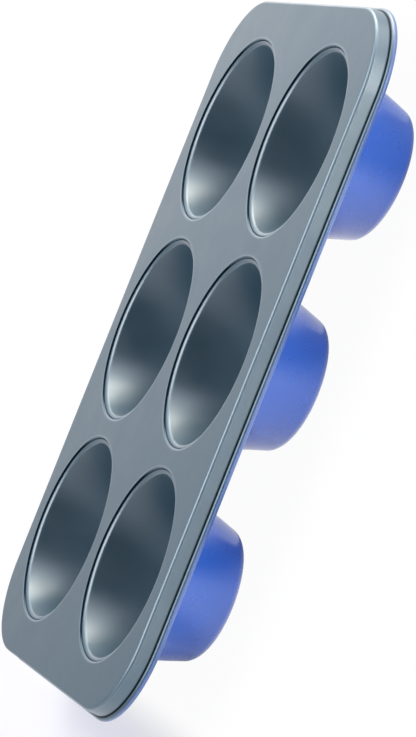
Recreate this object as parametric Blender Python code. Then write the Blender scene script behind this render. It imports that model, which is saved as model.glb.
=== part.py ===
"""Jumbo muffin pan: six deep cups set in one wire-edged top plate.

Metres, +Z up. The cups stand on z = 0, the pan is centred on the Z axis and its long side
runs along Y. Every section is drawn along the middle of the sheet.
"""

import math

import bmesh
import bpy
from mathutils import Vector

# Stock, and the gaps between pieces that touch on the real pan
SHEET = 0.0006
WIRE_DIAMETER = 0.0012
CLEARANCE = 0.0003
BUTT_GAP = 0.0005

# Openings in the deck: a bridge lies between two of them, a margin between one and the bead's outside
OPENING_DIAMETER = 0.089
COLUMN_BRIDGE = 0.0112
ROW_BRIDGE = 0.0102
SIDE_MARGIN = 0.0134
END_MARGIN = 0.0216
COLUMNS = ("left", "right")
ROWS = ("front", "middle", "rear")

# Deck edge: a rounded edge, a leaning skirt and a bead curled round the wire
PAN_HEIGHT = 0.0437
RIM_DEPTH = 0.010
CORNER_RADIUS = 0.0407
SKIRT_LEAN = math.radians(6)
EDGE_BEND = 0.0009
FOOT_BEND = 0.0002
CURL_MOUTH = 0.0005
GREY_ON_BEAD = math.radians(60)

# Seats pressed in the deck: a short wall, a ledge, and a collar that runs down along the cup
SHOULDER_BEND = 0.0002
LEDGE_BEND = 0.0003
COLLAR_FALL = 0.0016

# Cups: a rolled lip on the ledge, a tapered wall and a flat base
LIP_DROP = 0.0008
LIP_FLAT = 0.0001
WALL_INSET = 0.0009
BASE_DIAMETER = 0.0592
BASE_BEND = 0.0057

# Facets: steps round a cup, a corner and the wire, and how far a facet may lie inside its bend
ROUND_STEPS = 32
CORNER_STEPS = 8
WIRE_STEPS = 8
FACET_DEPTH = 0.00006
SMOOTH_UP_TO = math.radians(40)
MERGE = 0.000001

# Sizes that follow from those
HALF_SHEET = SHEET / 2
OPENING_RADIUS = OPENING_DIAMETER / 2
COLUMN_PITCH = OPENING_DIAMETER + COLUMN_BRIDGE
ROW_PITCH = OPENING_DIAMETER + ROW_BRIDGE
HALF_WIDTH = COLUMN_PITCH * (len(COLUMNS) - 1) / 2 + OPENING_RADIUS + SIDE_MARGIN
HALF_LENGTH = ROW_PITCH * (len(ROWS) - 1) / 2 + OPENING_RADIUS + END_MARGIN
CORNER_X = HALF_WIDTH - CORNER_RADIUS
CORNER_Y = HALF_LENGTH - CORNER_RADIUS
WIRE_RADIUS = WIRE_DIAMETER / 2
CURL_RADIUS = WIRE_RADIUS + CLEARANCE + HALF_SHEET
BEAD_RADIUS = CURL_RADIUS + HALF_SHEET
BEAD_REACH = CORNER_RADIUS - BEAD_RADIUS
BEAD_Z = PAN_HEIGHT - RIM_DEPTH + BEAD_RADIUS
FOOT_RADIUS = FOOT_BEND + HALF_SHEET
DECK_Z = PAN_HEIGHT - HALF_SHEET
LIP_Z = DECK_Z - LIP_DROP
LEDGE_Z = LIP_Z - SHEET - CLEARANCE
BASE_RADIUS = BASE_DIAMETER / 2
DRAFT = (OPENING_RADIUS - WALL_INSET - BASE_RADIUS) / PAN_HEIGHT
LIP_RADIUS = OPENING_RADIUS - CLEARANCE

GREY, BLUE = 0, 1


def clear_scene():
    """Empty the scene that this file runs in."""
    for thing in list(bpy.data.objects):
        bpy.data.objects.remove(thing, do_unlink=True)


def finish(name, colour, roughness, metallic):
    """One coating or bare metal."""
    material = bpy.data.materials.new(name)
    material.use_nodes = True
    shader = material.node_tree.nodes["Principled BSDF"]
    shader.inputs["Base Color"].default_value = (*colour, 1)
    shader.inputs["Roughness"].default_value = roughness
    shader.inputs["Metallic"].default_value = metallic
    return material


def bent(corners):
    """Walk along the middle of a bent sheet, as (point, normal to the left) pairs.

    Each corner is (across, up, inside radius of the bend there). The two ends have no bend.
    """
    points = [Vector(corner[:2]) for corner in corners]
    walk = [(points[0], left_of(points[1] - points[0]))]
    for before, here, after, corner in zip(points, points[1:], points[2:], corners[1:]):
        way_in = (here - before).normalized()
        way_out = (after - here).normalized()
        turn = math.atan2(way_in.cross(way_out), way_in.dot(way_out))
        radius = corner[2] + HALF_SHEET
        start = here - way_in * radius * math.tan(abs(turn) / 2)
        side = math.copysign(1, turn)
        centre = start + left_of(way_in) * radius * side
        walk += arc(centre, left_of(way_in) * -side, turn, radius, side)
    walk.append((points[-1], left_of(points[-1] - points[-2])))
    return walk


def left_of(way):
    """Unit normal on the left of a direction."""
    return Vector((-way.y, way.x)).normalized()


def arc(centre, spoke, turn, radius, side):
    """Walk round a bend from the spoke, turning left where side is 1 and right where it is -1."""
    widest = 2 * math.acos(1 - FACET_DEPTH / radius)
    steps = max(1, math.ceil(abs(turn) / widest))
    walk = []
    for step in range(steps + 1):
        angle = turn * step / steps
        out = Vector((spoke.x * math.cos(angle) - spoke.y * math.sin(angle),
                      spoke.x * math.sin(angle) + spoke.y * math.cos(angle)))
        walk.append((centre + out * radius, out * -side))
    return walk


def faces_of(walk):
    """The left face and the right face of the sheet along a walk."""
    left = [point + normal * HALF_SHEET for point, normal in walk]
    right = [point - normal * HALF_SHEET for point, normal in walk]
    return left, right


def chain(bm, points, origin, outward):
    """Lay a section's points out as joined edges in the upright plane through the origin."""
    verts = [bm.verts.new(origin + outward * point.x + Vector((0, 0, point.y))) for point in points]
    edges = [bm.edges.new(pair) for pair in zip(verts, verts[1:])]
    return verts, edges


def coat(bm, first_face, coating):
    """Give every face made since the count first_face its coating."""
    bm.faces.ensure_lookup_table()
    for face in bm.faces[first_face:]:
        face.material_index = coating


def turned(bm, points, centre, coating):
    """Turn a section about the upright axis of a cup."""
    made = len(bm.faces)
    verts, edges = chain(bm, points, centre, Vector((1, 0, 0)))
    bmesh.ops.spin(bm, geom=verts + edges, cent=centre, axis=(0, 0, 1), angle=math.tau,
                   steps=ROUND_STEPS, use_merge=True)
    coat(bm, made, coating)


def round_the_rim(bm, edges, butt_gap):
    """Carry a section round the pan's edge, from the middle of the left side back to it."""
    side_run = CORNER_Y - butt_gap / 2
    legs = (
        (Vector((0, -side_run, 0)), Vector((-CORNER_X, -CORNER_Y, 0))),
        (Vector((2 * CORNER_X, 0, 0)), Vector((CORNER_X, -CORNER_Y, 0))),
        (Vector((0, 2 * CORNER_Y, 0)), Vector((CORNER_X, CORNER_Y, 0))),
        (Vector((-2 * CORNER_X, 0, 0)), Vector((-CORNER_X, CORNER_Y, 0))),
    )
    for run, corner in legs:
        edges = run_straight(bm, edges, run)
        swung = bmesh.ops.spin(bm, geom=edges, cent=corner, axis=(0, 0, 1), angle=math.radians(90),
                               steps=CORNER_STEPS)["geom_last"]
        edges = [item for item in swung if isinstance(item, bmesh.types.BMEdge)]
    return run_straight(bm, edges, Vector((0, -side_run, 0)))


def run_straight(bm, edges, run):
    """Extrude a section along a straight side and return its far edges."""
    made = bmesh.ops.extrude_edge_only(bm, edges=edges)["geom"]
    verts = {item for item in made if isinstance(item, bmesh.types.BMVert)}
    bmesh.ops.translate(bm, verts=list(verts), vec=run)
    return [item for item in made
            if isinstance(item, bmesh.types.BMEdge) and set(item.verts) <= verts]


def rim_start(butt_gap):
    """Where a section starts on its way round: the middle of the left side."""
    return Vector((-CORNER_X, -butt_gap / 2, 0))


def wall_radius(level, outside):
    """Radius at a level of a line that runs along a cup's wall, this far outside its outer face."""
    return BASE_RADIUS + level * DRAFT + outside * math.hypot(1, DRAFT)


def rolled(level, outside):
    """The corner where a level sheet turns down along a cup's wall, bent from the lip's flat on."""
    across = wall_radius(level, outside)
    half_turn = (math.pi / 2 - math.atan(DRAFT)) / 2
    radius = (LIP_RADIUS - LIP_FLAT - across) / math.tan(half_turn)
    return across, level, radius - HALF_SHEET


def seat_section():
    """From the flat deck in over the shoulder, down the short wall, along the ledge and down the collar."""
    wall = OPENING_RADIUS + HALF_SHEET
    on_the_flat = wall + COLUMN_BRIDGE
    collar = CLEARANCE + HALF_SHEET
    collar_end = LEDGE_Z - COLLAR_FALL
    walk = bent((
        (on_the_flat, DECK_Z, 0),
        (wall, DECK_Z, SHOULDER_BEND),
        (wall, LEDGE_Z, LEDGE_BEND),
        rolled(LEDGE_Z, collar),
        (wall_radius(collar_end, collar), collar_end, 0),
    ))
    underside, top = faces_of(walk[1:])
    return top, underside


def rim_section():
    """From the flat deck out over the edge, down the skirt and round the wire."""
    skirt_turn = math.pi / 2 - SKIRT_LEAN
    foot = Vector((BEAD_REACH - FOOT_RADIUS * math.tan(skirt_turn / 2), BEAD_Z + CURL_RADIUS))
    edge = Vector((foot.x - (DECK_Z - foot.y) * math.tan(SKIRT_LEAN), DECK_Z))
    on_the_flat = edge.x - SIDE_MARGIN
    walk = bent((
        (on_the_flat, DECK_Z, 0),
        (*edge, EDGE_BEND),
        (*foot, FOOT_BEND),
        (BEAD_REACH, foot.y, 0),
    ))[1:-1]
    centre = Vector((BEAD_REACH, BEAD_Z))
    grey_curl = arc(centre, Vector((0, 1)), -GREY_ON_BEAD, CURL_RADIUS, -1)
    blue_curl = arc(centre, grey_curl[-1][1], GREY_ON_BEAD - curl_turn(), CURL_RADIUS, -1)
    grey_top, _ = faces_of(walk + grey_curl[1:])
    blue_outside, _ = faces_of(blue_curl)
    _, underside = faces_of(walk + grey_curl[1:] + blue_curl[1:])
    return grey_top, blue_outside + underside[::-1]


def curl_turn():
    """How far the curl turns before its end is CURL_MOUTH away from the bend at the skirt's foot."""
    rise = CURL_RADIUS + FOOT_RADIUS
    reach = FOOT_RADIUS + HALF_SHEET + CURL_MOUTH
    mouth = (BEAD_RADIUS ** 2 + rise ** 2 - reach ** 2) / (2 * BEAD_RADIUS * rise)
    return math.tau - math.acos(mouth)


def cup_section():
    """From the lip in over its roll, down the wall and across the base."""
    outside, inside = faces_of(bent((
        (LIP_RADIUS, LIP_Z, 0),
        rolled(LIP_Z, -HALF_SHEET),
        (wall_radius(HALF_SHEET, -HALF_SHEET), HALF_SHEET, BASE_BEND),
        (0, HALF_SHEET, 0),
    )))
    return inside, [inside[0]] + outside


def make_object(bm, name, coatings):
    """Turn a bmesh into a named object with its coatings."""
    bmesh.ops.remove_doubles(bm, verts=bm.verts, dist=MERGE)
    bmesh.ops.recalc_face_normals(bm, faces=bm.faces)
    mesh = bpy.data.meshes.new(name)
    bm.to_mesh(mesh)
    bm.free()
    for coating in coatings:
        mesh.materials.append(coating)
    mesh.shade_smooth()
    mesh.set_sharp_from_angle(angle=SMOOTH_UP_TO)
    return place(name, mesh, Vector())


def place(name, mesh, location):
    """Put a mesh in the scene under its own name."""
    thing = bpy.data.objects.new(name, mesh)
    thing.location = location
    bpy.context.scene.collection.objects.link(thing)
    return thing


def spread(names, pitch):
    """Each name with its place on a line, one pitch apart and centred."""
    first = -pitch * (len(names) - 1) / 2
    return [(name, first + pitch * index) for index, name in enumerate(names)]


def cup_centres():
    """Every cup's name and the foot of its axis."""
    return [(f"cup_{row}_{column}", Vector((across, along, 0)))
            for row, along in spread(ROWS, ROW_PITCH) for column, across in spread(COLUMNS, COLUMN_PITCH)]


def make_deck(grey, blue):
    """The top plate, with its six seats, its skirt and its curled bead."""
    bm = bmesh.new()
    top, underside = seat_section()
    for _, centre in cup_centres():
        turned(bm, top, centre, GREY)
        turned(bm, [top[-1]] + underside[::-1], centre, BLUE)
    for section, coating in zip(rim_section(), (GREY, BLUE)):
        made = len(bm.faces)
        _, edges = chain(bm, section, rim_start(0), Vector((-1, 0, 0)))
        round_the_rim(bm, edges, 0)
        coat(bm, made, coating)
    bmesh.ops.remove_doubles(bm, verts=bm.verts, dist=MERGE)
    for level, coating in ((PAN_HEIGHT, GREY), (PAN_HEIGHT - SHEET, BLUE)):
        made = len(bm.faces)
        rings = [edge for edge in bm.edges
                 if edge.is_boundary and all(abs(vert.co.z - level) < MERGE for vert in edge.verts)]
        bmesh.ops.triangle_fill(bm, use_beauty=True, edges=rings, normal=(0, 0, 1))
        coat(bm, made, coating)
    return make_object(bm, "deck", (grey, blue))


def make_wire(steel):
    """The wire in the bead, bent round the pan with its two ends meeting at the left side."""
    bm = bmesh.new()
    start = rim_start(BUTT_GAP) - Vector((BEAD_REACH, 0, -BEAD_Z))
    turns = [math.tau * step / WIRE_STEPS for step in range(WIRE_STEPS)]
    ring = [bm.verts.new(start + WIRE_RADIUS * Vector((math.cos(turn), 0, math.sin(turn))))
            for turn in turns]
    cap = bm.faces.new(ring)
    far_edges = round_the_rim(bm, cap.edges[:], BUTT_GAP)
    bmesh.ops.contextual_create(bm, geom=far_edges)
    return make_object(bm, "rim_wire", (steel,))


def make_cups(grey, blue):
    """Six cups that share one mesh, each placed by its location."""
    bm = bmesh.new()
    inside, outside = cup_section()
    turned(bm, inside, Vector(), GREY)
    turned(bm, outside, Vector(), BLUE)
    names = cup_centres()
    first = make_object(bm, names[0][0], (grey, blue))
    first.location = names[0][1]
    for name, centre in names[1:]:
        place(name, first.data, centre)


def main():
    clear_scene()
    grey = finish("non_stick_grey", (0.21, 0.28, 0.33), 0.38, 0.7)
    blue = finish("baked_blue", (0.045, 0.12, 0.56), 0.42, 0.2)
    steel = finish("bare_steel", (0.55, 0.55, 0.54), 0.35, 1)
    make_deck(grey, blue)
    make_wire(steel)
    make_cups(grey, blue)


main()
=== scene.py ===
"""Looks of the jumbo muffin pan: slate non-stick coat on top and inside, baked cobalt blue outside."""

import math

import bmesh
import bpy
from mathutils import Matrix, Vector


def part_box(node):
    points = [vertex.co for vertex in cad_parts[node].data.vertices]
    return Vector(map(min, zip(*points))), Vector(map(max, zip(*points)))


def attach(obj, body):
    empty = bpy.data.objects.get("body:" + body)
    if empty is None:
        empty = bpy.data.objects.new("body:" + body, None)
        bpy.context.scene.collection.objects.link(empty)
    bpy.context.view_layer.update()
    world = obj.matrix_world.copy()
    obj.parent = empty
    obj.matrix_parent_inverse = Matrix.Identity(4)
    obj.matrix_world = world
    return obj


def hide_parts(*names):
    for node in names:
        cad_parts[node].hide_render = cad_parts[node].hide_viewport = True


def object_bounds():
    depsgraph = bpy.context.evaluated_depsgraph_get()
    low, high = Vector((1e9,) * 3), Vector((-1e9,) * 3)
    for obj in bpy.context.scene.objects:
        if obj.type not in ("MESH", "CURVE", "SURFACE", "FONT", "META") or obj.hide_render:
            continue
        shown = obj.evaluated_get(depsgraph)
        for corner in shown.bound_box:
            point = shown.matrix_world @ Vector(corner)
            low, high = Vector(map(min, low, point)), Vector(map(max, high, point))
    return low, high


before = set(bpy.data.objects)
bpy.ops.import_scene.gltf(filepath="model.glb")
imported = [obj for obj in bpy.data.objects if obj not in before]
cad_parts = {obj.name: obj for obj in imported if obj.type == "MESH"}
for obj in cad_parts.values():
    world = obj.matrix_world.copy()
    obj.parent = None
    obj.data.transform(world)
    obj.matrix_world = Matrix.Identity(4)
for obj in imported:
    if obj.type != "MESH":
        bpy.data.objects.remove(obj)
CAD_LOW, CAD_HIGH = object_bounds()

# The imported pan: its half sides, its top and its cups
HALF_WIDTH = (CAD_HIGH.x - CAD_LOW.x) / 2
HALF_LENGTH = (CAD_HIGH.y - CAD_LOW.y) / 2
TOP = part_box("deck")[1].z
CUP_NAMES = sorted(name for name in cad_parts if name.startswith("cup_"))
COLUMN_PITCH = 0.1002
ROW_PITCH = 0.0992

# Sections, drawn along the middle of the sheet, in metres and radians
SHEET = 0.0006
CLEARANCE = 0.0003
BUTT_GAP = 0.0005
WIRE_RADIUS = 0.0006
OPENING_RADIUS = 0.0445
RIM_DEPTH = 0.010
CORNER_RADIUS = 0.0407
SKIRT_LEAN = math.radians(6)
EDGE_BEND = 0.0009
FOOT_BEND = 0.0002
CURL_MOUTH = 0.0005
GREY_ON_BEAD = math.radians(60)
SHOULDER_BEND = 0.0002
LEDGE_BEND = 0.0003
COLLAR_FALL = 0.0016
LIP_DROP = 0.0008
LIP_FLAT = 0.0001
WALL_INSET = 0.0009
BASE_RADIUS = 0.0296
BASE_BEND = 0.0057

# Levels and radii that follow
HALF_SHEET = SHEET / 2
DECK_Z = TOP - HALF_SHEET
LIP_Z = DECK_Z - LIP_DROP
LEDGE_Z = LIP_Z - SHEET - CLEARANCE
LIP_RADIUS = OPENING_RADIUS - CLEARANCE
DRAFT = (OPENING_RADIUS - WALL_INSET - BASE_RADIUS) / TOP
CURL_RADIUS = WIRE_RADIUS + CLEARANCE + HALF_SHEET
BEAD_RADIUS = CURL_RADIUS + HALF_SHEET
BEAD_REACH = CORNER_RADIUS - BEAD_RADIUS
BEAD_Z = TOP - RIM_DEPTH + BEAD_RADIUS
BEAD_BLUE_Z = BEAD_Z + BEAD_RADIUS * math.cos(GREY_ON_BEAD)
CORNER_X = HALF_WIDTH - CORNER_RADIUS
CORNER_Y = HALF_LENGTH - CORNER_RADIUS

# Fineness of the visible meshes
CUP_STEPS = 144
CORNER_STEPS = 28
CURL_STEPS = 36
WIRE_STEPS = 20
FINEST_BEND = math.radians(9)
SEAT_RING = 0.0024
RIM_RING = 0.004
CUT_EDGE = 0.00012
MERGE = 0.000002
NEARLY_LEVEL = 0.9

# Where the painted shade and the painted highlight lie round the top plate's openings, as distances from a
# cup's axis
PAINTED_SHADE_END = (OPENING_RADIUS + 0.0007, OPENING_RADIUS + 0.0004)
SHOULDER_START = (OPENING_RADIUS + 0.0005, OPENING_RADIUS + 0.0008)
SHOULDER_END = (OPENING_RADIUS + 0.0016, OPENING_RADIUS + 0.0012)
CLEAR_OF_SEAT = OPENING_RADIUS + 0.002

# How they change along Y from that axis: narrower at the front, painted shade weaker at both ends, painted
# highlight strongest at the front
FRONT_SHIFT_SPAN = (-0.020, -0.034)
FRONT_SHIFT = 0.0002
SEAT_FRONT = (-0.036, -0.044)
SEAT_REAR = (0.036, 0.0446)
SHOULDER_SPAN = (-0.034, 0)

# Where the painted shade over the bead, the painted highlight on the plate's edge and the blue round the
# bead lie, as levels
BEAD_TOP = BEAD_Z + BEAD_RADIUS
OVER_BEAD_TOP = (BEAD_TOP + 0.0012, BEAD_TOP + 0.0002)
OVER_BEAD_FOOT = (BEAD_TOP - 0.00015, BEAD_TOP + 0.00005)
OVERSPRAY = (BEAD_BLUE_Z + 0.0003, BEAD_BLUE_Z - 0.0005)
FULL_BLUE = (BEAD_Z - 0.0008, BEAD_Z - 0.0013)
RAGGED = 0.00012
EDGE_START = (TOP - 0.00004, TOP - 0.0003)
EDGE_END = (TOP - 0.0016, TOP - 0.0012)

# How strong the painted shade, the painted highlight and the blue overspray are, from 0 to 1
PAINTED_SHADE_AT_ENDS = 0.2
PAINTED_SHADE_ROUGHNESS = 0.6
SHOULDER_HIGHLIGHT_FRONT = 1
SHOULDER_HIGHLIGHT_REAR = 0.6
EDGE_HIGHLIGHT = 0.45
OVERSPRAY_SHARE = 0.5

# Coats and metals
SLATE = {
    "colour": (0.033, 0.106, 0.172, 1), "thin_colour": (0.042, 0.12, 0.19, 1), "roughness": (0.33, 0.41),
    "metallic": 0.3, "ior": 2.4, "clear_weight": 0.45, "clear_roughness": 0.3, "peel_strength": 0.12,
}
COBALT = {
    "colour": (0.006, 0.115, 0.61, 1), "thin_colour": (0.012, 0.13, 0.64, 1), "roughness": (0.24, 0.30),
    "metallic": 0, "ior": 1.9, "clear_weight": 0.2, "clear_roughness": 0.2, "peel_strength": 0.08,
}
CUP_IOR = 3.0
# Painted shade: the near-black colour laid in the seats and over the bead, where shade falls
PAINTED_SHADE_COLOUR = (0.008, 0.02, 0.034, 1)
# Painted highlight: the lighter colour laid on the seats' shoulders and the plate's edge
PAINTED_HIGHLIGHT_COLOUR = (0.19, 0.28, 0.36, 1)
STEEL_COLOUR = (0.56, 0.56, 0.55, 1)
STEEL_ROUGHNESS = (0.25, 0.45)

# Patterns, in waves per metre
DRIFT_WAVES = 14
FLECK_WAVES = 2600
SMEAR_WAVES = 45
PEEL_WAVES = 450
PEEL_GRAINS = 3600
RAGGED_WAVES = 350
SCRATCH_WAVES = 900

# How far the patterns go, and the part of a noise's range that they use
PEEL_GRAIN_SHARE = 0.06
PEEL_DEPTH = 0.00006
THIN_BY_DRIFT = 0.3
THIN_IN_FLECK = 0.35
NOISE_MIDDLE = (0.3, 0.7)
FLECK_SPAN = (0.55, 0.75)

# The floor: its level and colours, and where its seen part keeps the pan's shadow
FLOOR_Z = -0.0001
FLOOR_REACH = 4
FLOOR_COLOUR = (0.88, 0.88, 0.9, 1)
SEEN_FLOOR_COLOUR = (0.83, 0.83, 0.88, 1)
WHITE_IN_SHADOW = 0.05
WHITE_ELSEWHERE = 0.96
SHADOW_REAR = (-HALF_LENGTH - 0.02, -HALF_LENGTH + 0.015)
SHADOW_FRONT = (-HALF_LENGTH - 0.06, -HALF_LENGTH - 0.16)
SHADOW_SIDES = (0.3, 0.5)

# Light: the world's level, the room's size, and the levels of the cards on the floor
WORLD_LEVEL = 0.4
ROOM_RADIUS = 1.2
ROOM_HEIGHT = 1.3
STRIP_Z = -0.00006
GAP_STRIP_Z = -0.00003

# Shades of the cards: a level, then eased steps (operation, axis, from, to, value at from, value at to)
ROOM = (
    0.02,
    ("ADD", "Y", 0.88, 1.2, 0, 1.75),
    ("ADD", "Y", 1.14, 1.2, 0, 0.6),
    ("ADD", "Y", -0.55, -1.15, 0, 0.55),
    ("ADD", "X", -0.1, -0.6, 0, 0.15),
    ("MULTIPLY", "Z", 0.28, 0.5, 1, 0.6),
)
FAR_END_GLOW = (5.4, ("MULTIPLY", "Z", 0.14, 0.2, 1, 0.8))
WARM_BACKDROP = (
    1.1,
    ("MULTIPLY", "Z", 0.33, 0.56, 1.35, 0.35),
    ("MULTIPLY", "Y", -0.6, 0.6, 0.37, 1.1),
    ("ADD", "Y", 0.3, 0.55, 0, 0.45),
)
BACKDROP = (
    *WARM_BACKDROP,
    ("ADD", "Y", -0.3, -0.6, 0, 0.15),
    ("ADD", "Y", -0.6, -1.05, 0, 0.25),
    ("ADD", "Y", 0.8, 1.05, 0, 1),
)
CEILING = (0.3,)
BOUNCE = (
    2.6,
    ("MULTIPLY", "Y", -0.3, 0.1, 0.9, 1.1),
    ("MULTIPLY", "Y", 0.1, 0.24, 1, 4.4),
)
FAR_BOUNCE = (2.4,)

# Strips of floor that the blue walls mirror, with the steps' places counted from a strip's middle
BESIDE_ROWS = {
    -1: (0.6, ("ADD", "Y", -0.035, -0.010, 0, 0.6), ("MULTIPLY", "Y", 0.004, 0.030, 1, 0.2),
         ("ADD", "Y", 0.038, 0.0496, 0, 0.4)),
    0: (1.2, ("MULTIPLY", "Y", -0.004, 0.026, 1, 0.28), ("ADD", "Y", 0.038, 0.0496, 0, 0.5)),
    1: (1.3, ("MULTIPLY", "Y", -0.018, 0.010, 1, 0.35)),
}
IN_GAPS = {
    -1.5: (0.45,),
    -0.5: (0.95, ("ADD", "Y", -0.004, 0.006, 0, 0.1)),
    0.5: (0.9, ("ADD", "Y", -0.004, 0.006, 0, 0.4)),
    1.5: (0.8,),
}


# Shapes

def section(bm, corners, origin, outward):
    """Draw a sheet's middle line through its corners and round each corner to its bend."""
    verts = [bm.verts.new(origin + outward * across + Vector((0, 0, up))) for across, up, _ in corners]
    for pair in zip(verts, verts[1:]):
        bm.edges.new(pair)
    turns = [(here.co - before.co).angle(after.co - here.co)
             for before, here, after in zip(verts, verts[1:], verts[2:])]
    end = verts[-1].co.copy()
    for vert, (_, _, bend), turn in zip(verts[1:-1], corners[1:-1], turns):
        bmesh.ops.bevel(bm, geom=[vert], offset=(bend + HALF_SHEET) * math.tan(turn / 2),
                        offset_type="OFFSET", segments=max(2, math.ceil(turn / FINEST_BEND)),
                        profile=0.5, affect="VERTICES", material=-1)
    return min(bm.verts, key=lambda vert: (vert.co - end).length)


def turn_round(bm, geom, centre):
    """Spin a section once round a cup's axis."""
    bmesh.ops.spin(bm, geom=geom, cent=centre, axis=(0, 0, 1), angle=math.tau, steps=CUP_STEPS,
                   use_merge=True)


def carry_round(bm, edges, butt_gap=0):
    """Carry a section once round the pan's edge, from the middle of the left side."""
    side_run = CORNER_Y - butt_gap / 2
    legs = (
        (Vector((0, -side_run, 0)), Vector((-CORNER_X, -CORNER_Y, 0))),
        (Vector((2 * CORNER_X, 0, 0)), Vector((CORNER_X, -CORNER_Y, 0))),
        (Vector((0, 2 * CORNER_Y, 0)), Vector((CORNER_X, CORNER_Y, 0))),
        (Vector((-2 * CORNER_X, 0, 0)), Vector((-CORNER_X, CORNER_Y, 0))),
    )
    for run, corner in legs:
        edges = run_straight(bm, edges, run)
        swung = bmesh.ops.spin(bm, geom=edges, cent=corner, axis=(0, 0, 1), angle=math.radians(90),
                               steps=CORNER_STEPS)["geom_last"]
        edges = [item for item in swung if isinstance(item, bmesh.types.BMEdge)]
    return run_straight(bm, edges, Vector((0, -side_run, 0)))


def run_straight(bm, edges, run):
    """Extrude a section along a straight side and return its far edges."""
    made = bmesh.ops.extrude_edge_only(bm, edges=edges)["geom"]
    verts = {item for item in made if isinstance(item, bmesh.types.BMVert)}
    bmesh.ops.translate(bm, verts=list(verts), vec=run)
    return [item for item in made if isinstance(item, bmesh.types.BMEdge) and set(item.verts) <= verts]


def face_up(bm, top_of):
    """Merge a middle surface and turn all of it so that the chosen face looks up."""
    bmesh.ops.remove_doubles(bm, verts=bm.verts, dist=MERGE)
    bmesh.ops.recalc_face_normals(bm, faces=bm.faces)
    if max(bm.faces, key=top_of).normal.z < 0:
        bmesh.ops.reverse_faces(bm, faces=bm.faces)


def give_sheet(piece):
    """Thicken a middle surface to sheet metal, with its cut edges eased."""
    sheet = piece.modifiers.new("sheet", "SOLIDIFY")
    sheet.thickness = SHEET
    sheet.offset = 0
    sheet.use_even_offset = True
    sheet.use_quality_normals = True
    sheet.material_offset = 1
    sheet.material_offset_rim = 1
    eased = piece.modifiers.new("cut_edge", "BEVEL")
    eased.width = CUT_EDGE
    eased.segments = 2
    eased.limit_method = "ANGLE"
    eased.angle_limit = math.radians(50)
    piece.modifiers.new("even_shading", "WEIGHTED_NORMAL")


def piece_from(bm, name, materials, node):
    """Turn a bmesh into a smooth piece that stands for a node of the pan."""
    mesh = bpy.data.meshes.new(name)
    bm.to_mesh(mesh)
    bm.free()
    for material in materials:
        mesh.materials.append(material)
    mesh.shade_smooth()
    piece = bpy.data.objects.new(name, mesh)
    bpy.context.scene.collection.objects.link(piece)
    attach(piece, "root")
    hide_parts(node)
    return piece


def cup_axis(name):
    """The foot of a cup's axis."""
    low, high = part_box(name)
    return Vector(((low.x + high.x) / 2, (low.y + high.y) / 2, 0))


def wall_radius(level, outside):
    """Radius at a level of a line along a cup's wall, this far outside its outer face."""
    return BASE_RADIUS + level * DRAFT + outside * math.hypot(1, DRAFT)


def rolled(level, outside):
    """The corner where a level sheet turns down along a cup's wall, bent from the lip's flat on."""
    across = wall_radius(level, outside)
    half_turn = (math.pi / 2 - math.atan(DRAFT)) / 2
    return across, level, (LIP_RADIUS - LIP_FLAT - across) / math.tan(half_turn) - HALF_SHEET


def make_cup(node, inside, outside):
    """One deep-drawn cup: a rolled lip, a tapered wall and a rounded base."""
    centre = cup_axis(node)
    bm = bmesh.new()
    section(bm, (
        (LIP_RADIUS, LIP_Z, 0),
        rolled(LIP_Z, -HALF_SHEET),
        (wall_radius(HALF_SHEET, -HALF_SHEET), HALF_SHEET, BASE_BEND),
        (0, HALF_SHEET, 0),
    ), centre, Vector((1, 0, 0)))
    turn_round(bm, bm.verts[:] + bm.edges[:], centre)
    face_up(bm, lambda face: -face.calc_center_median().z)
    give_sheet(piece_from(bm, node + "_drawn", (inside, outside), node))


def make_deck(top, underside):
    """The top plate: six seats, a rounded edge, a skirt and a curled bead."""
    bm = bmesh.new()
    wall = OPENING_RADIUS + HALF_SHEET
    collar = CLEARANCE + HALF_SHEET
    collar_end = LEDGE_Z - COLLAR_FALL
    for node in CUP_NAMES:
        verts, edges = set(bm.verts), set(bm.edges)
        centre = cup_axis(node)
        section(bm, (
            (wall + SEAT_RING, DECK_Z, 0),
            (wall, DECK_Z, SHOULDER_BEND),
            (wall, LEDGE_Z, LEDGE_BEND),
            rolled(LEDGE_Z, collar),
            (wall_radius(collar_end, collar), collar_end, 0),
        ), centre, Vector((1, 0, 0)))
        drawn = [vert for vert in bm.verts if vert not in verts]
        drawn += [edge for edge in bm.edges if edge not in edges]
        turn_round(bm, drawn, centre)
    edges = set(bm.edges)
    draw_rim(bm)
    carry_round(bm, [edge for edge in bm.edges if edge not in edges])
    bmesh.ops.remove_doubles(bm, verts=bm.verts, dist=MERGE)
    rings = [edge for edge in bm.edges
             if edge.is_boundary and all(abs(vert.co.z - DECK_Z) < MERGE for vert in edge.verts)]
    bmesh.ops.triangle_fill(bm, use_beauty=True, edges=rings, normal=(0, 0, 1))
    face_up(bm, lambda face: face.calc_area() if abs(face.normal.z) > NEARLY_LEVEL else 0)
    give_sheet(piece_from(bm, "top_plate", (top, underside), "deck"))


def draw_rim(bm):
    """The rim's section at the middle of the left side: edge, skirt, foot and curl."""
    foot_radius = FOOT_BEND + HALF_SHEET
    skirt_turn = math.pi / 2 - SKIRT_LEAN
    foot = Vector((BEAD_REACH - foot_radius * math.tan(skirt_turn / 2), BEAD_Z + CURL_RADIUS))
    edge = foot.x - (DECK_Z - foot.y) * math.tan(SKIRT_LEAN)
    start = Vector((-CORNER_X, 0, 0))
    bead_top = section(bm, (
        (edge - RIM_RING, DECK_Z, 0),
        (edge, DECK_Z, EDGE_BEND),
        (*foot, FOOT_BEND),
        (BEAD_REACH, foot.y, 0),
    ), start, Vector((-1, 0, 0)))
    wire = start + Vector((-BEAD_REACH, 0, BEAD_Z))
    bmesh.ops.spin(bm, geom=[bead_top], cent=wire, axis=(0, 1, 0), angle=-curl_turn(foot_radius),
                   steps=CURL_STEPS)


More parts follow.
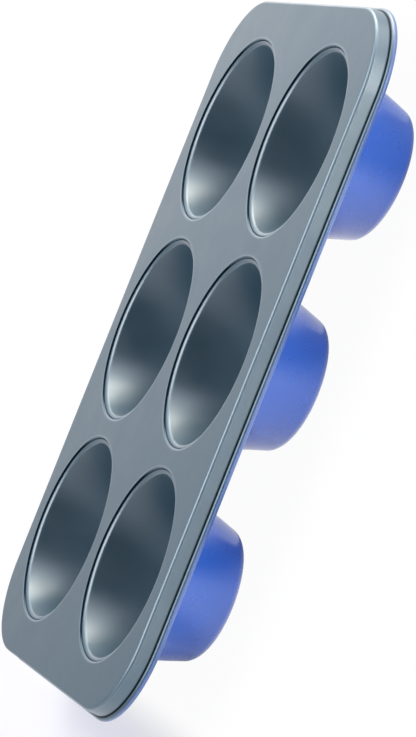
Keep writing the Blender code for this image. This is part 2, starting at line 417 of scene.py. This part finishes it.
def curl_turn(foot_radius):
    """How far the curl turns before its end is CURL_MOUTH away from the bend at the skirt's foot."""
    rise = CURL_RADIUS + foot_radius
    reach = foot_radius + HALF_SHEET + CURL_MOUTH
    mouth = (BEAD_RADIUS ** 2 + rise ** 2 - reach ** 2) / (2 * BEAD_RADIUS * rise)
    return math.tau - math.acos(mouth)


def make_wire(steel):
    """The wire in the bead, its two ends meeting at the left side."""
    bm = bmesh.new()
    centre = Vector((-CORNER_X - BEAD_REACH, -BUTT_GAP / 2, BEAD_Z))
    stand = Matrix.Translation(centre) @ Matrix.Rotation(math.radians(90), 4, "X")
    bmesh.ops.create_circle(bm, cap_ends=True, segments=WIRE_STEPS, radius=WIRE_RADIUS, matrix=stand)
    far_edges = carry_round(bm, bm.edges[:], BUTT_GAP)
    bmesh.ops.contextual_create(bm, geom=far_edges)
    bmesh.ops.remove_doubles(bm, verts=bm.verts, dist=MERGE)
    bmesh.ops.recalc_face_normals(bm, faces=bm.faces)
    wire = piece_from(bm, "rim_wire_drawn", (steel,), "rim_wire")
    wire.modifiers.new("even_shading", "WEIGHTED_NORMAL")


# Shader helpers

def add(tree, kind, **settings):
    """Add a node and set its own options."""
    node = tree.nodes.new(kind)
    for option, value in settings.items():
        setattr(node, option, value)
    return node


def feed(tree, socket, value):
    """Link a socket into another, or set a plain number or colour on it."""
    if isinstance(value, bpy.types.NodeSocket):
        tree.links.new(value, socket)
    else:
        socket.default_value = value


def feed_all(tree, node, values):
    """Feed a node's inputs by their names."""
    for label, value in values.items():
        feed(tree, node.inputs[label], value)


def noise(tree, vector, scale, detail, roughness=0.5):
    """A noise texture on a vector."""
    node = add(tree, "ShaderNodeTexNoise")
    feed_all(tree, node, {"Vector": vector, "Scale": scale, "Detail": detail, "Roughness": roughness})
    return node.outputs["Fac"]


def maths(tree, operation, *values):
    """A maths node on sockets and numbers."""
    node = add(tree, "ShaderNodeMath", operation=operation)
    for socket, value in zip(node.inputs, values):
        feed(tree, socket, value)
    return node.outputs[0]


def remap(tree, value, low, high, to_low, to_high):
    """Stretch a value from one range to another, eased at both ends."""
    node = add(tree, "ShaderNodeMapRange", interpolation_type="SMOOTHSTEP")
    feed_all(tree, node, {"Value": value, "From Min": low, "From Max": high,
                          "To Min": to_low, "To Max": to_high})
    return node.outputs["Result"]


def blend(tree, share, first, second):
    """Mix two colours."""
    node = add(tree, "ShaderNodeMix", data_type="RGBA")
    for label, value in (("Factor_Float", share), ("A_Color", first), ("B_Color", second)):
        socket = next(item for item in node.inputs if item.identifier == label)
        feed(tree, socket, value)
    return next(item for item in node.outputs if item.identifier == "Result_Color")


def mix_shaders(tree, share, first, second):
    """Show the second shader by its share, and the first one otherwise."""
    node = add(tree, "ShaderNodeMixShader")
    for socket, value in zip(node.inputs, (share, first.outputs[0], second.outputs[0])):
        feed(tree, socket, value)
    return node


def object_place(tree):
    """The place on the object, whole and split into X, Y and Z."""
    place = add(tree, "ShaderNodeTexCoord").outputs["Object"]
    split = add(tree, "ShaderNodeSeparateXYZ")
    feed(tree, split.inputs[0], place)
    return place, split.outputs


def new_group(name, inputs, outputs):
    """An empty shader group with named sockets, and its two end nodes."""
    group = bpy.data.node_groups.new(name, "ShaderNodeTree")
    for kind, label in inputs:
        group.interface.new_socket(name=label, in_out="INPUT", socket_type="NodeSocket" + kind)
    for kind, label in outputs:
        group.interface.new_socket(name=label, in_out="OUTPUT", socket_type="NodeSocket" + kind)
    return group, group.nodes.new("NodeGroupInput").outputs, group.nodes.new("NodeGroupOutput").inputs


def make_peel_group():
    """Orange peel of a sprayed and baked coat: soft waves with a fine grain on top."""
    inputs = (("Vector", "Vector"), ("Float", "Waves per metre"), ("Float", "Grains per metre"),
              ("Float", "Grain share"))
    group, given, made = new_group("orange_peel", inputs, (("Float", "Height"),))
    waves = noise(group, given["Vector"], given["Waves per metre"], 1)
    grains = noise(group, given["Vector"], given["Grains per metre"], 2)
    grains = maths(group, "MULTIPLY", grains, given["Grain share"])
    feed(group, made["Height"], maths(group, "ADD", waves, grains))
    return group


def make_drift_group():
    """Slow drift of a coat's tone and gloss, with flecks of fine pigment."""
    inputs = (("Vector", "Vector"), ("Color", "Coat"), ("Color", "Thin coat"), ("Float", "Gloss low"),
              ("Float", "Gloss high"))
    group, given, made = new_group("coat_drift", inputs, (("Color", "Color"), ("Float", "Roughness")))
    place = given["Vector"]
    drift = remap(group, noise(group, place, DRIFT_WAVES, 3), *NOISE_MIDDLE, 0, THIN_BY_DRIFT)
    flecks = remap(group, noise(group, place, FLECK_WAVES, 1), *FLECK_SPAN, 0, THIN_IN_FLECK)
    thin = maths(group, "ADD", drift, flecks)
    feed(group, made["Color"], blend(group, thin, given["Coat"], given["Thin coat"]))
    smears = noise(group, place, SMEAR_WAVES, 4, 0.6)
    gloss = remap(group, smears, *NOISE_MIDDLE, given["Gloss low"], given["Gloss high"])
    feed(group, made["Roughness"], gloss)
    return group


def make_seat_group():
    """Distance from the axis of the nearest cup, and how far along Y from it."""
    outputs = (("Float", "Distance"), ("Float", "Along"))
    group, given, made = new_group("seat_distance", (("Vector", "Vector"),), outputs)
    split = add(group, "ShaderNodeSeparateXYZ")
    feed(group, split.inputs[0], given["Vector"])
    across = maths(group, "SUBTRACT", maths(group, "ABSOLUTE", split.outputs["X"]), COLUMN_PITCH / 2)
    row = maths(group, "ROUND", maths(group, "DIVIDE", split.outputs["Y"], ROW_PITCH))
    row = maths(group, "MINIMUM", maths(group, "MAXIMUM", row, -1), 1)
    along = maths(group, "SUBTRACT", split.outputs["Y"], maths(group, "MULTIPLY", row, ROW_PITCH))
    across_squared = maths(group, "MULTIPLY", across, across)
    along_squared = maths(group, "MULTIPLY", along, along)
    feed(group, made["Distance"], maths(group, "SQRT", maths(group, "ADD", across_squared, along_squared)))
    feed(group, made["Along"], along)
    return group


# Materials

def coat(name, colour, thin_colour, roughness, metallic, ior, clear_weight, clear_roughness, peel_strength):
    """A sprayed coat that was baked on, with its drift, its flecks and its orange peel."""
    material = bpy.data.materials.new(name)
    material.use_nodes = True
    tree = material.node_tree
    shader = tree.nodes["Principled BSDF"]
    place = add(tree, "ShaderNodeTexCoord").outputs["Object"]
    drift = add(tree, "ShaderNodeGroup", node_tree=drift_group)
    feed_all(tree, drift, {"Vector": place, "Coat": colour, "Thin coat": thin_colour,
                           "Gloss low": roughness[0], "Gloss high": roughness[1]})
    feed(tree, shader.inputs["Base Color"], drift.outputs["Color"])
    feed(tree, shader.inputs["Roughness"], drift.outputs["Roughness"])
    peel = add(tree, "ShaderNodeGroup", node_tree=peel_group)
    feed_all(tree, peel, {"Vector": place, "Waves per metre": PEEL_WAVES, "Grains per metre": PEEL_GRAINS,
                          "Grain share": PEEL_GRAIN_SHARE})
    bump = add(tree, "ShaderNodeBump")
    feed_all(tree, bump, {"Strength": peel_strength, "Distance": PEEL_DEPTH,
                          "Height": peel.outputs["Height"]})
    feed(tree, shader.inputs["Normal"], bump.outputs["Normal"])
    shader.inputs["Metallic"].default_value = metallic
    shader.inputs["IOR"].default_value = ior
    shader.inputs["Coat Weight"].default_value = clear_weight
    shader.inputs["Coat Roughness"].default_value = clear_roughness
    return material


def find_painted_shade(tree, level, from_seat, along):
    """Painted shade: dark over the bead's top and in the seats, but less at the seats' two ends."""
    shade_over_bead = maths(tree, "MINIMUM", remap(tree, level, *OVER_BEAD_TOP, 0, 1),
                      remap(tree, level, *OVER_BEAD_FOOT, 0, 1))
    beside_cup = maths(tree, "MINIMUM", remap(tree, along, *SEAT_FRONT, 1, PAINTED_SHADE_AT_ENDS),
                       remap(tree, along, *SEAT_REAR, 1, PAINTED_SHADE_AT_ENDS))
    shade_in_seat = maths(tree, "MULTIPLY", remap(tree, from_seat, *PAINTED_SHADE_END, 0, 1), beside_cup)
    return maths(tree, "MAXIMUM", shade_over_bead, shade_in_seat)


def find_painted_highlight(tree, level, distance, from_seat, along, painted_shade):
    """Painted highlight: a lighter line on the seats' shoulders, most at their front, and on the plate's
    edge.
    """
    on_shoulder = maths(tree, "MULTIPLY", remap(tree, from_seat, *SHOULDER_START, 0, 1),
                        remap(tree, from_seat, *SHOULDER_END, 0, 1))
    to_rear = remap(tree, along, *SHOULDER_SPAN, SHOULDER_HIGHLIGHT_FRONT, SHOULDER_HIGHLIGHT_REAR)
    on_shoulder = maths(tree, "MULTIPLY", on_shoulder, to_rear)
    on_shoulder = maths(tree, "MULTIPLY", on_shoulder, maths(tree, "SUBTRACT", 1, painted_shade))
    # A painted highlight along the plate's edge, away from the seats
    on_edge = maths(tree, "MULTIPLY", remap(tree, level, *EDGE_START, 0, EDGE_HIGHLIGHT),
                    remap(tree, level, *EDGE_END, 0, 1))
    on_edge = maths(tree, "MULTIPLY", on_edge, maths(tree, "GREATER_THAN", distance, CLEAR_OF_SEAT))
    return maths(tree, "ADD", on_shoulder, on_edge)


def find_blue(tree, place, level):
    """Where blue lies on the plate's own side: a ragged overspray, and all of the bead's underside."""
    shift = remap(tree, noise(tree, place, RAGGED_WAVES, 3), *NOISE_MIDDLE, -RAGGED, RAGGED)
    ragged = maths(tree, "ADD", level, shift)
    return maths(tree, "MAXIMUM", remap(tree, ragged, *OVERSPRAY, 0, OVERSPRAY_SHARE),
                 remap(tree, level, *FULL_BLUE, 0, 1))


def finish_top_plate(material, blue):
    """Painted shade in the seats and over the bead, a painted highlight on the shoulders and the edge, and
    blue round the bead.
    """
    tree = material.node_tree
    shader = tree.nodes["Principled BSDF"]
    place, split = object_place(tree)
    level = split["Z"]
    seats = add(tree, "ShaderNodeGroup", node_tree=seat_group)
    feed(tree, seats.inputs["Vector"], place)
    distance, along = seats.outputs["Distance"], seats.outputs["Along"]
    from_seat = maths(tree, "ADD", distance, remap(tree, along, *FRONT_SHIFT_SPAN, 0, FRONT_SHIFT))
    painted_shade = find_painted_shade(tree, level, from_seat, along)
    painted_highlight = find_painted_highlight(tree, level, distance, from_seat, along, painted_shade)
    painted = find_blue(tree, place, level)
    colour = shader.inputs["Base Color"].links[0].from_socket
    # Lay the painted highlight and then the painted shade into the coat's colour
    colour = blend(tree, painted_shade, blend(tree, painted_highlight, colour, PAINTED_HIGHLIGHT_COLOUR), PAINTED_SHADE_COLOUR)
    feed(tree, shader.inputs["Base Color"], blend(tree, painted, colour, blue))
    # The painted shade is also rougher, fully metallic and without clear coat, so that it stays dark
    rough_shade = maths(tree, "MULTIPLY", painted_shade, PAINTED_SHADE_ROUGHNESS)
    gloss = maths(tree, "MAXIMUM", shader.inputs["Roughness"].links[0].from_socket, rough_shade)
    feed(tree, shader.inputs["Roughness"], gloss)
    plain = maths(tree, "SUBTRACT", 1, maths(tree, "MAXIMUM", painted_shade, painted))
    metal = maths(tree, "MULTIPLY", plain, shader.inputs["Metallic"].default_value)
    feed(tree, shader.inputs["Metallic"], maths(tree, "ADD", metal, painted_shade))
    unshaded = maths(tree, "SUBTRACT", 1, painted_shade)
    clear = maths(tree, "MULTIPLY", unshaded, shader.inputs["Coat Weight"].default_value)
    feed(tree, shader.inputs["Coat Weight"], clear)


def drawn_steel():
    """Bright drawn wire with fine scratches."""
    material = bpy.data.materials.new("drawn_steel_wire")
    material.use_nodes = True
    tree = material.node_tree
    shader = tree.nodes["Principled BSDF"]
    place = add(tree, "ShaderNodeTexCoord").outputs["Object"]
    scratches = noise(tree, place, SCRATCH_WAVES, 3)
    feed(tree, shader.inputs["Roughness"], remap(tree, scratches, *NOISE_MIDDLE, *STEEL_ROUGHNESS))
    shader.inputs["Base Color"].default_value = STEEL_COLOUR
    shader.inputs["Metallic"].default_value = 1
    return material


# Studio

def seen_directly(tree):
    """One for a ray that shows the background: straight, mirrored or through glass."""
    path = add(tree, "ShaderNodeLightPath").outputs
    mirrored = maths(tree, "MAXIMUM", path["Is Camera Ray"], path["Is Glossy Ray"])
    return maths(tree, "MAXIMUM", mirrored, path["Is Transmission Ray"])


def stand(bm, name):
    """Turn a bmesh into a part of the studio, with an empty material."""
    mesh = bpy.data.meshes.new(name)
    bm.to_mesh(mesh)
    bm.free()
    thing = bpy.data.objects.new(name, mesh)
    bpy.context.scene.collection.objects.link(thing)
    material = bpy.data.materials.new(name)
    material.use_nodes = True
    material.node_tree.nodes.clear()
    mesh.materials.append(material)
    return thing, material.node_tree


def paper(tree, colour):
    """A matt shader."""
    node = add(tree, "ShaderNodeBsdfDiffuse")
    feed(tree, node.inputs["Color"], colour)
    return node


def make_floor():
    """A plain white floor that keeps a light shadow near the pan's front end."""
    bm = bmesh.new()
    bmesh.ops.create_grid(bm, x_segments=1, y_segments=1, size=FLOOR_REACH)
    bmesh.ops.translate(bm, verts=bm.verts, vec=Vector((0, 0, FLOOR_Z)))
    _, tree = stand(bm, "floor")
    _, split = object_place(tree)
    levels = (WHITE_IN_SHADOW, WHITE_ELSEWHERE)
    white = maths(tree, "MAXIMUM", remap(tree, split["Y"], *SHADOW_REAR, *levels),
                  remap(tree, split["Y"], *SHADOW_FRONT, *levels))
    far_off = remap(tree, maths(tree, "ABSOLUTE", split["X"]), *SHADOW_SIDES, 0, WHITE_ELSEWHERE)
    white = maths(tree, "MAXIMUM", white, far_off)
    seen = mix_shaders(tree, white, paper(tree, SEEN_FLOOR_COLOUR), add(tree, "ShaderNodeEmission"))
    floor = mix_shaders(tree, seen_directly(tree), paper(tree, FLOOR_COLOUR), seen)
    feed(tree, add(tree, "ShaderNodeOutputMaterial").inputs["Surface"], floor.outputs[0])


def make_world():
    """A white studio: white where it is seen, plain soft light elsewhere."""
    world = bpy.data.worlds.new("studio")
    bpy.context.scene.world = world
    world.use_nodes = True
    tree = world.node_tree
    back = tree.nodes["Background"]
    back.inputs["Color"].default_value = (1, 1, 1, 1)
    feed(tree, back.inputs["Strength"], remap(tree, seen_directly(tree), 0, 1, WORLD_LEVEL, 1))


def panel(centre, aim, size):
    """A flat panel that faces a point."""
    bm = bmesh.new()
    bmesh.ops.create_grid(bm, x_segments=1, y_segments=1, size=0.5)
    bmesh.ops.scale(bm, verts=bm.verts, vec=Vector((*size, 1)))
    turned = (Vector(aim) - Vector(centre)).to_track_quat("Z", "Y").to_matrix().to_4x4()
    bmesh.ops.transform(bm, matrix=Matrix.Translation(Vector(centre)) @ turned, verts=bm.verts)
    return bm


def screen(radius, start, sweep, low, high):
    """A curved screen round the pan, from one bearing through a sweep of degrees."""
    bm = bmesh.new()
    bearing = math.radians(start)
    foot = Vector((radius * math.cos(bearing), radius * math.sin(bearing), 0))
    pair = [bm.verts.new(foot + Vector((0, 0, level))) for level in (low, high)]
    edge = bm.edges.new(pair)
    bmesh.ops.spin(bm, geom=[*pair, edge], cent=(0, 0, 0), axis=(0, 0, 1), angle=math.radians(sweep),
                   steps=24)
    return bm


def make_card(name, bm, shade, tint=(1, 1, 1, 1)):
    """A card that only gloss sees. Its strength is a level, changed by eased steps along X, Y or Z."""
    card, tree = stand(bm, name)
    _, split = object_place(tree)
    strength, *steps = shade
    for operation, axis, *step in steps:
        strength = maths(tree, operation, strength, remap(tree, split[axis], *step))
    glow = add(tree, "ShaderNodeEmission")
    feed_all(tree, glow, {"Color": tint, "Strength": strength})
    feed(tree, add(tree, "ShaderNodeOutputMaterial").inputs["Surface"], glow.outputs[0])
    card.visible_camera = False
    card.visible_diffuse = False
    card.visible_shadow = False


def make_strip(name, centre, size, shade):
    """A card that lies on the floor, with the places of its steps counted from its middle along Y."""
    across, middle = centre[:2]
    level, *steps = shade
    moved = [(operation, axis, start + middle, end + middle, *values)
             for operation, axis, start, end, *values in steps]
    make_card(name, panel(centre, (across, middle, 1), size), (level, *moved))


def make_lamp(name, centre, aim, size, power, tint=(1, 1, 1), mirrored=False):
    """A rectangular softbox, which gloss may leave out."""
    data = bpy.data.lights.new(name, "AREA")
    data.color = tint
    data.shape = "RECTANGLE"
    data.size, data.size_y = size
    data.energy = power
    lamp = bpy.data.objects.new(name, data)
    lamp.location = centre
    lamp.visible_glossy = mirrored
    lamp.rotation_euler = (Vector(aim) - Vector(centre)).to_track_quat("-Z", "Y").to_euler()
    bpy.context.scene.collection.objects.link(lamp)


def make_cards():
    """The dim room, the pale background and the floor's light, all for gloss alone."""
    make_card("room", screen(ROOM_RADIUS, start=-125, sweep=230, low=0.03, high=ROOM_HEIGHT), ROOM)
    make_card("far_end_glow", panel(centre=(-0.19, 0.55, 0.2), aim=(0, 0, 0.04), size=(0.36, 0.3)),
              FAR_END_GLOW, tint=(1.04, 0.98, 0.86, 1))
    make_card("backdrop", screen(ROOM_RADIUS, start=105, sweep=130, low=0, high=ROOM_HEIGHT),
              BACKDROP, tint=(0.93, 1, 1.02, 1))
    make_card("warm_backdrop", screen(ROOM_RADIUS - 0.01, start=150, sweep=60, low=0, high=0.4),
              WARM_BACKDROP, tint=(1.1, 1, 0.96, 1))
    make_card("ceiling", panel(centre=(0, 0, ROOM_HEIGHT), aim=(0, 0, 0), size=(2.4, 2.4)), CEILING)
    make_card("bounce", panel(centre=(0.55, 0, 0.001), aim=(0.55, 0, 1), size=(0.5, 1)),
              BOUNCE, tint=(1, 0.94, 0.85, 1))
    make_card("far_bounce", panel(centre=(0.16, 0.48, STRIP_Z), aim=(0.16, 0.48, 1), size=(0.28, 0.4)),
              FAR_BOUNCE, tint=(1, 0.95, 0.88, 1))
    for row, shade in BESIDE_ROWS.items():
        make_strip(f"floor_beside_row_{row + 2}", centre=(0.16, row * ROW_PITCH, STRIP_Z),
                   size=(0.24, ROW_PITCH), shade=shade)
    for place, shade in IN_GAPS.items():
        make_strip(f"floor_in_gap_{place + 2.5:.0f}", centre=(0.045, place * ROW_PITCH, GAP_STRIP_Z),
                   size=(0.04, 0.035), shade=shade)


def make_lamps():
    """A soft key from the rear left, a wide light overhead and a low fill from the right."""
    make_lamp("key", centre=(-0.51, 0.94, 0.40), aim=(0, 0, 0.04), size=(0.65, 0.4), power=5.3,
              tint=(1, 0.94, 0.8))
    make_lamp("overhead", centre=(0, 0.05, 1.2), aim=(0, 0, 0), size=(1.1, 1.5), power=14.4, mirrored=True)
    make_lamp("front_fill", centre=(1.05, 0.35, 0.05), aim=(0, 0, 0.03), size=(1.6, 0.1), power=5.2)


def make_camera():
    """The photograph's view: from the pan's right side, a little above the deck, and rolled."""
    data = bpy.data.cameras.new("camera")
    data.sensor_width = 36
    data.lens = 177.5
    camera = bpy.data.objects.new("camera", data)
    place = Vector((1.5504, -0.0138, 0.5006 + TOP))
    right = Vector((0.29594, 0.37227, -0.87968))
    up = Vector((-0.11432, 0.92812, 0.35431))
    back = Vector((0.94834, -0.00429, 0.31723))
    turned = Matrix((right, up, back)).transposed().to_4x4()
    camera.matrix_world = Matrix.Translation(place) @ turned
    bpy.context.scene.collection.objects.link(camera)
    bpy.context.scene.camera = camera


seat_group = make_seat_group()
peel_group = make_peel_group()
drift_group = make_drift_group()
slate = coat("slate_in_cups", **{**SLATE, "ior": CUP_IOR})
slate_plate = coat("slate_on_top_plate", **SLATE)
finish_top_plate(slate_plate, COBALT["colour"])
cobalt = coat("cobalt_baked", **COBALT)
steel = drawn_steel()

make_deck(slate_plate, cobalt)
for cup_name in CUP_NAMES:
    make_cup(cup_name, slate, cobalt)
make_wire(steel)

make_floor()
make_world()
make_cards()
make_lamps()
make_camera()
bpy.context.scene.view_settings.view_transform = "Standard"
